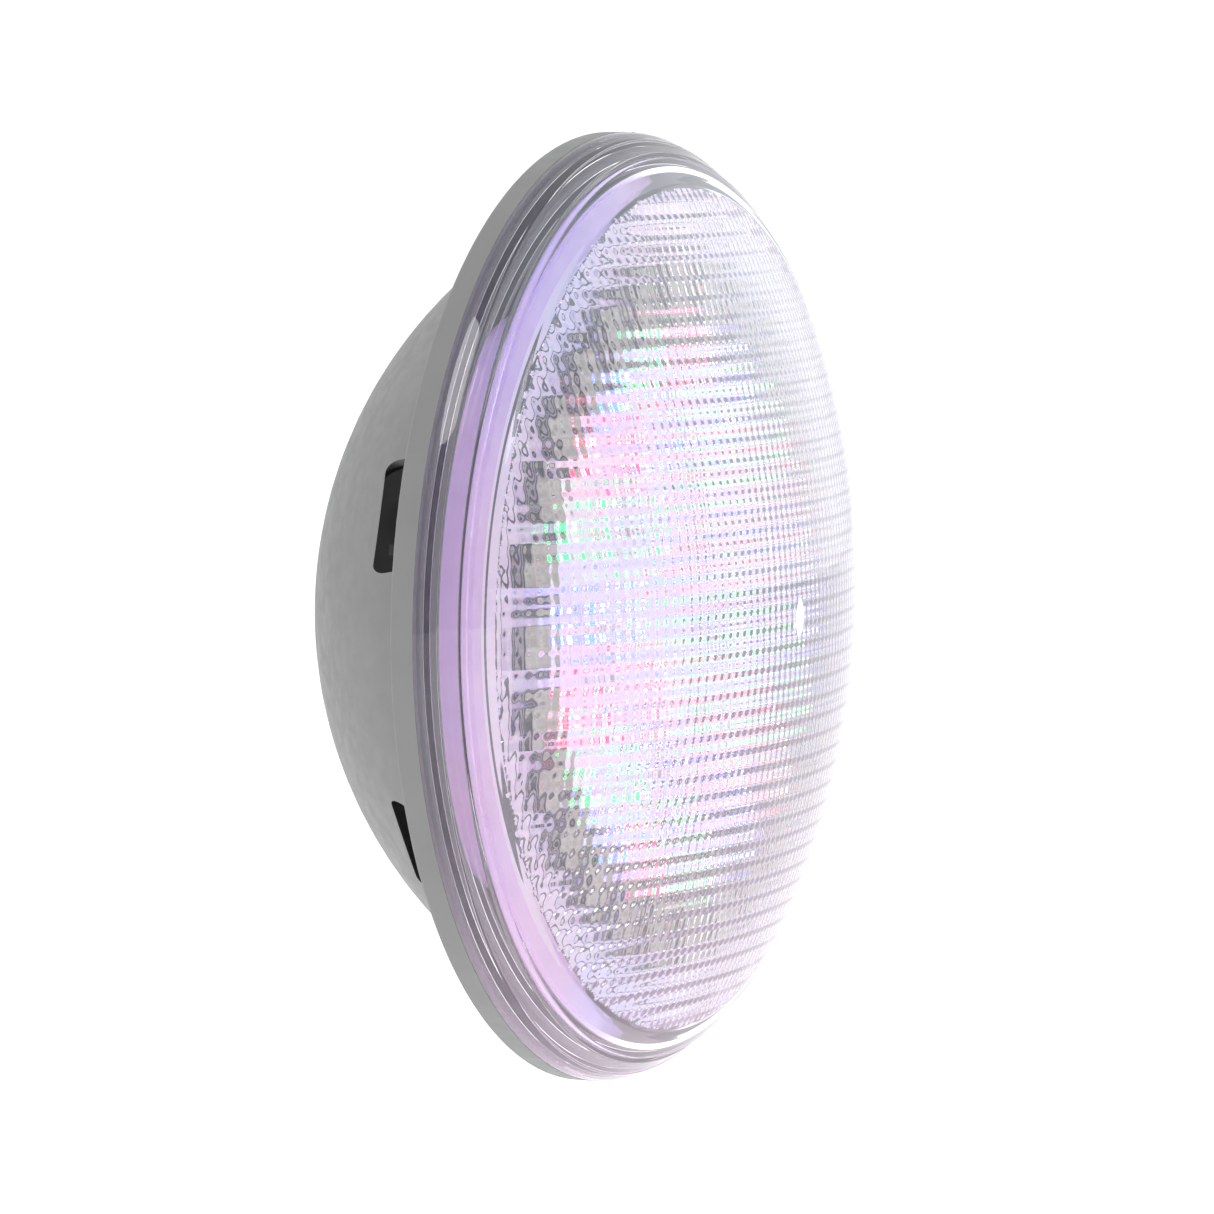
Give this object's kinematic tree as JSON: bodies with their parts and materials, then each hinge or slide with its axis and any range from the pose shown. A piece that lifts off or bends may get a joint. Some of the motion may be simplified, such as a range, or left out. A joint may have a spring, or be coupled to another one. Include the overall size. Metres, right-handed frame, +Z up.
{
  "type": "underwater pool light",
  "caption": "Round sealed pool lamp with a domed clear lens over coloured emitters, a grey bowl with water windows and rear screw terminals.",
  "frame": {"origin": "on the lamp axis, in the plane where the lens meets the housing rim, at the front end of the cylindrical rim band", "axes": "+Y runs backwards along the lamp axis from the lens to the rear terminals, +Z is up, and +X is to the right as seen from the front"},
  "size_m": [0.1774, 0.0882, 0.1774],
  "materials": {
    "housing_grey": "fine moulded grain, satin",
    "lens_clear": "clear moulded polycarbonate with a grid of lenslets",
    "seal_rubber": "smooth moulded rubber",
    "white_plastic": "smooth white",
    "board_white": "white solder resist",
    "led_red": "lit",
    "led_green": "lit",
    "led_blue": "lit",
    "ceramic_beige": "cast ceramic",
    "thermal_pad": "soft silicone",
    "sink_black": "black anodised aluminium",
    "screw_steel": "plain stainless steel",
    "connector_ivory": "moulded nylon",
    "wire_insulation": "smooth sleeve",
    "cup_black": "moulded, fine grain",
    "circuit_green": "solder resist",
    "capacitor_blue": "sleeved can",
    "copper_winding": "enamelled copper wire",
    "chip_black": "moulded epoxy",
    "lead_red": "smooth sleeve",
    "lead_black": "smooth sleeve",
    "resin": "cast resin",
    "tinned_copper": "tin plated",
    "terminal_brass": "turned brass",
    "screw_brass": "turned brass, slotted"
  },
  "bodies": {
    "lamp": {"rear_housing": "housing_grey", "front_lens": "lens_clear", "lens_seal": "seal_rubber", "edge_ring": "white_plastic", "led_board": "board_white", "red_leds": "led_red", "green_leds": "led_green", "blue_leds": "led_blue", "ballast_resistors": "ceramic_beige", "thermal_pad": "thermal_pad", "heat_sink": "sink_black", "board_screws": "screw_steel", "board_header": "connector_ivory", "output_plug": "connector_ivory", "output_wires": "wire_insulation", "driver_cup": "cup_black", "cup_seal": "seal_rubber", "cup_screws": "screw_steel", "driver_board": "circuit_green", "driver_screws": "screw_steel", "capacitors": "capacitor_blue", "choke": "copper_winding", "bridge_rectifier": "chip_black", "driver_chips": "chip_black", "red_lead": "lead_red", "black_lead": "lead_black", "potting_resin": "resin", "terminal_lugs": "tinned_copper", "lug_nuts": "terminal_brass", "terminal_nuts": "terminal_brass", "terminal_gasket": "seal_rubber", "terminal_inserts": "terminal_brass"},
    "left_washer": {"left_clamp_washer": "screw_steel"},
    "right_washer": {"right_clamp_washer": "screw_steel"},
    "left_screw": {"left_terminal_screw": "screw_brass"},
    "right_screw": {"right_terminal_screw": "screw_brass"}
  },
  "joints": [
    {"name": "left_washer_travel", "type": "slide", "parent": "lamp", "child": "left_washer", "axis": [0, 1, 0], "range_m": [0, 0.0021]},
    {"name": "left_screw_turn", "type": "hinge", "parent": "left_washer", "child": "left_screw", "pos_m": [-0.01, 0.052, 0], "axis": [0, 1, 0], "range_deg": [0, 1081]},
    {"name": "right_washer_travel", "type": "slide", "parent": "lamp", "child": "right_washer", "axis": [0, 1, 0], "range_m": [0, 0.0021]},
    {"name": "right_screw_turn", "type": "hinge", "parent": "right_washer", "child": "right_screw", "pos_m": [0.01, 0.052, 0], "axis": [0, 1, 0], "range_deg": [0, 1081]}
  ],
  "couplings": [
    {"joint": "left_screw_turn", "follows": "left_washer_travel", "rad_per_m": 8976},
    {"joint": "right_screw_turn", "follows": "right_washer_travel", "rad_per_m": 8976}
  ]
}
